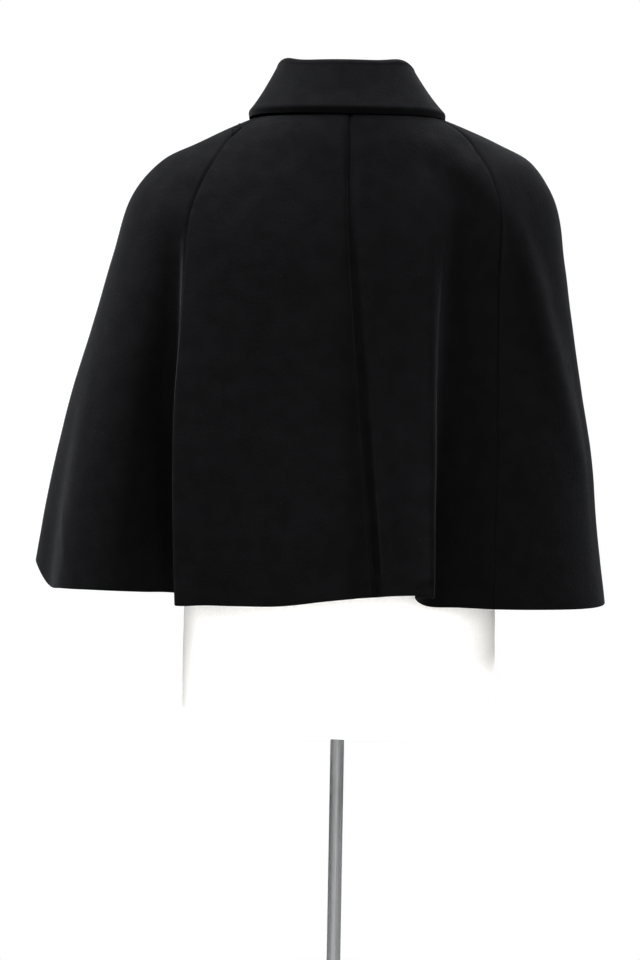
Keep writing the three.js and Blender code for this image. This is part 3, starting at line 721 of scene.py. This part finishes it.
FALL_SHARE = 0.93
COLLAR_STEPS = 230
STAND_ROWS = 12
ROLL_ROWS = 12
FALL_ROWS = 26


def ring_points(ring, bearing):
    """Points of a collar ring at each bearing."""
    sin = np.sin(np.radians(bearing))
    cos = np.cos(np.radians(bearing))
    depth = np.where(cos > 0, ring["back"], ring["front"])
    end_z = np.where(cos > 0, ring["back_z"], ring["front_z"])
    z = end_z + (ring["side_z"] - end_z) * sin ** 2
    for corner, rise in ring["corners"]:
        z = z + rise * np.exp(-((bearing - corner) / CORNER_WIDTH) ** 2)
    return np.stack([ring["shift"] + ring["side"] * sin, -depth * cos, z], axis=-1)


end_shares = EDGE_STEPS / HALF_LENGTH
inner_shares = np.linspace(-HALF_SHARE, HALF_SHARE, COLLAR_STEPS)
collar_shares = np.concatenate([-1 + end_shares, inner_shares, 1 - end_shares[::-1]])
foot = ring_points(STAND_FOOT, collar_shares * FOOT_END)
roll = ring_points(ROLL, collar_shares * FOOT_END)
roll_out = (roll - [ROLL["shift"], 0, 0]) / [ROLL["side"] ** 2, ROLL["back"] ** 2, 1] * [1, 1, 0]
roll_out /= np.linalg.norm(roll_out, axis=-1, keepdims=True)
UP = np.array([0, 0, 1.0])


def roll_point(turn):
    """A line along the roll, from its inner side at no turn to its outer side at half a turn."""
    return roll - roll_out * ROLL_R * math.cos(turn) + UP * ROLL_R * math.sin(turn)


collar_rows = [foot + (roll_point(0) - foot) * s for s in np.linspace(0, 1, STAND_ROWS, endpoint=False)]
collar_rows += [roll_point(turn) for turn in np.linspace(0, math.pi, ROLL_ROWS)]
fall_start = roll_point(math.pi)
fall_shares = [np.linspace(0, FALL_SHARE, FALL_ROWS)[1:], 1 - EDGE_STEPS[::-1] / FALL_LENGTH]
for s in np.concatenate(fall_shares):
    fall_edge = ring_points(FALL_EDGE, collar_shares * (FOOT_END + (FALL_END - FOOT_END) * s))
    sag = (fall_start + fall_edge) / 2 - UP * FALL_SAG
    collar_rows.append((1 - s) ** 2 * fall_start + 2 * s * (1 - s) * sag + s * s * fall_edge)
collar_middle = np.array(collar_rows)
collar_normals = np.cross(np.gradient(collar_middle, axis=0), np.gradient(collar_middle, axis=1))
collar_normals /= np.linalg.norm(collar_normals, axis=-1, keepdims=True)
across_steps = np.linalg.norm(np.diff(collar_middle, axis=1), axis=-1)
down_steps = np.linalg.norm(np.diff(collar_middle, axis=0), axis=-1)
from_start = np.pad(np.cumsum(across_steps, axis=1), ((0, 0), (1, 0))) + EDGE_STEPS[0]
from_end = from_start[:, -1:] - from_start + EDGE_STEPS[0]
from_edge = np.pad(np.cumsum(down_steps[::-1], axis=0), ((1, 0), (0, 0)))[::-1] + EDGE_STEPS[0]
from_foot = np.pad(np.cumsum(down_steps, axis=0), ((1, 0), (0, 0))) + EDGE_STEPS[0]
collar_half = np.full(from_start.shape, COLLAR_HALF)
for distance, radius in ((from_start, COLLAR_HALF), (from_end, COLLAR_HALF), (from_foot, FOOT_EDGE_R)):
    collar_half = np.minimum(collar_half, edge_round(distance, radius, COLLAR_HALF))
free_share = np.clip(from_foot / CALM_STAND - 1, 0, 1)
collar_middle = collar_middle + collar_normals * (soft_swell(collar_middle) * free_share)[..., None]
edge_extra = EDGE_EXTRA * np.exp(-(from_edge / EDGE_EXTRA_WIDTH) ** 2)
collar_inside = collar_half + edge_extra * collar_half / COLLAR_HALF
face_share = np.clip(from_edge / EDGE_FACE, 0, 1)
collar_outside = -collar_inside + (collar_half + collar_inside) * face_share
collar_points, collar_faces = shell(collar_middle, collar_normals, collar_outside, collar_inside)
collar = build_mesh("cape_collar", collar_points, collar_faces)
collar.data.materials.append(wool)
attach(collar, "root")
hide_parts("collar")

# Buttons
# Four flat black buttons with a raised rim, sewn to the left front through four holes with black
# thread. Each comes through a worked buttonhole in the right front, which laps over the left one.
BUTTON_DOWNS = (0.1, 0.34, 0.58, 0.82)
BUTTON_R = 12
BUTTON_T = 3.6
BUTTON_LIFT = 0.6
BUTTON_FACE = 2.6
BUTTON_FACE_R = 7.6
BUTTON_EDGE_R = 0.8
BUTTON_PROFILE = [(0, 0), (9.6, 0), (BUTTON_R, 1.1), (BUTTON_R, 2.8), (10.6, BUTTON_T),
                  (9.4, BUTTON_T), (8.2, BUTTON_FACE), (BUTTON_FACE_R, BUTTON_FACE)]
FACE_STEP = 0.2
HOLE_OFF = 2.5
HOLE_R = 1.15
HOLE_DEPTH = 2.2
HOLE_EDGE = 0.3
THREAD_R = 0.24
THREAD_FOOT = 1.3
THREAD_RISE = 1.9
THREAD_STEPS = 15
STRANDS = (-0.45, 0, 0.45)
SLIT_FROM = -3
SLIT_TO = 25
SLIT_HALF = 0.85
SLIT_STEP = 0.45
SLIT_END_STEPS = 7
PURL_R = 0.8
PURL_SWELL = 0.16
PURL_PITCH = 1.3
PURL_LIFT = 0.25
TUBE_STEPS = 8


def on_front(x, downs):
    """Points of the upper front's outer face by their X and height, and outward directions."""
    first = KNOTS[np.argmax(FOLD_PANEL == len(PANELS) - 1)]
    fine = np.tile(np.linspace(first, KNOTS[-1], FINE_STEPS), (len(downs), 1))
    lines = cloth_points(fine, downs)[..., 0]
    place = np.array([np.interp(-at, -line, row) for at, line, row in zip(x, lines, fine)])[:, None]
    face = cloth_points(place, downs)
    normal = cloth_normals(place, downs)
    height = hung_height(face, downs[:, None] * FALL)
    return (face + normal * height[..., None])[:, 0], normal[:, 0]


def tube(path, radii):
    """Points and faces of a round strand along a path, with its radius at each point."""
    steps = TUBE_STEPS
    path = np.asarray(path, float)
    ahead = np.gradient(path, axis=0)
    ahead /= np.linalg.norm(ahead, axis=1, keepdims=True)
    side = np.cross(ahead, path - path.mean(axis=0) + 1e-3)
    side /= np.linalg.norm(side, axis=1, keepdims=True)
    up = np.cross(side, ahead)
    points = []
    for i in range(len(path)):
        for k in range(steps):
            turn = 2 * math.pi * k / steps
            points.append(path[i] + radii[i] * (side[i] * math.cos(turn) + up[i] * math.sin(turn)))
    faces = []
    for i in range(len(path) - 1):
        for k in range(steps):
            on = (k + 1) % steps
            faces.append((i * steps + k, i * steps + on, (i + 1) * steps + on, (i + 1) * steps + k))
    faces.append(tuple(range(steps))[::-1])
    faces.append(tuple(range((len(path) - 1) * steps, len(path) * steps)))
    return points, faces


def joined(parts):
    """Several sets of points and faces as one."""
    points = []
    faces = []
    for part_points, part_faces in parts:
        faces += [tuple(corner + len(points) for corner in face) for face in part_faces]
        points += list(part_points)
    return points, faces


button_outline = rounded(BUTTON_PROFILE, BUTTON_EDGE_R)
face_rings = np.arange(BUTTON_FACE_R - FACE_STEP, FACE_STEP / 2, -FACE_STEP)
button_outline += [(r, BUTTON_FACE) for r in face_rings] + [(0, BUTTON_FACE)]
button_points, button_faces = turned(button_outline)
button_points = np.array(button_points)
holes = [(a * HOLE_OFF, b * HOLE_OFF) for a in (-1, 1) for b in (-1, 1)]
for x, y in holes:
    gap = np.hypot(button_points[:, 0] - x, button_points[:, 1] - y)
    on_face = button_points[:, 2] > BUTTON_FACE - FACE_STEP / 2
    inside_hole = np.clip((HOLE_R - gap) / HOLE_EDGE, 0, 1) * on_face
    button_points[:, 2] -= HOLE_DEPTH * inside_hole

strands = []
s = np.linspace(-1, 1, THREAD_STEPS)
arch_height = BUTTON_FACE - THREAD_FOOT + THREAD_RISE * (1 - s ** 4)
for y in (-HOLE_OFF, HOLE_OFF):
    for off in STRANDS:
        arch = np.stack([s * HOLE_OFF, y + off + 0 * s, arch_height], axis=1)
        strands.append(tube(arch, np.full(THREAD_STEPS, THREAD_R)))
thread_points, thread_faces = joined(strands)
thread_points = np.array(thread_points)

horn, horn_shader, nodes, links = new_material("black_horn", (0.006, 0.006, 0.0065), 0.32)
horn_cloud = add_noise(nodes, links, 120, 3)
horn_tones = add_tones(
    nodes, links, horn_cloud.outputs["Fac"], (0.0045, 0.0045, 0.005), (0.009, 0.0088, 0.0088))
links.new(horn_tones.outputs["Color"], horn_shader.inputs["Base Color"])
add_bump(nodes, links, horn_cloud.outputs["Fac"], horn_shader, 0.0001, 0.2)

thread, thread_shader, nodes, links = new_material("black_thread", (0.009, 0.009, 0.0095), 0.6)
twist = add_noise(nodes, links, 1800, 2)
thread_tones = add_tones(
    nodes, links, twist.outputs["Fac"], (0.007, 0.007, 0.0075), (0.013, 0.013, 0.0135))
links.new(thread_tones.outputs["Color"], thread_shader.inputs["Base Color"])
add_bump(nodes, links, twist.outputs["Fac"], thread_shader, 0.0002, 0.6)

for k, down in enumerate(BUTTON_DOWNS, start=1):
    seat, normal = (rows[0] for rows in on_front(np.zeros(1), np.array([down])))
    level = np.cross(UP, normal)
    level /= np.linalg.norm(level)
    turn_to = np.stack([level, np.cross(normal, level), normal])
    seat = seat + normal * BUTTON_LIFT
    button = build_mesh(f"cape_button_{k}", button_points @ turn_to + seat, button_faces)
    button.data.materials.append(horn)
    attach(button, "root")
    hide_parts(f"button_{k}")
    sewing = build_mesh(f"button_thread_{k}", thread_points @ turn_to + seat, thread_faces)
    sewing.data.materials.append(thread)
    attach(sewing, "root")

    half_turn = np.linspace(-math.pi / 2, math.pi / 2, SLIT_END_STEPS)
    along_slit = np.arange(SLIT_FROM, SLIT_TO, SLIT_STEP)
    loop = [(x, SLIT_HALF) for x in along_slit]
    loop += [(SLIT_TO + SLIT_HALF * math.cos(a), -SLIT_HALF * math.sin(a)) for a in half_turn]
    loop += [(x, -SLIT_HALF) for x in along_slit[::-1]]
    loop += [(SLIT_FROM - SLIT_HALF * math.cos(a), SLIT_HALF * math.sin(a)) for a in half_turn]
    loop = np.array(loop)
    spots, outward = on_front(loop[:, 0], down + loop[:, 1] / FALL)
    path = spots + outward * PURL_LIFT
    lengths = np.concatenate([[0], np.cumsum(np.linalg.norm(np.diff(path, axis=0), axis=1))])
    purl = PURL_R * (1 + PURL_SWELL * np.sin(2 * math.pi * lengths / PURL_PITCH))
    worked = build_mesh(f"buttonhole_{k}", *tube(path, purl))
    worked.data.materials.append(thread)
    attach(worked, "root")
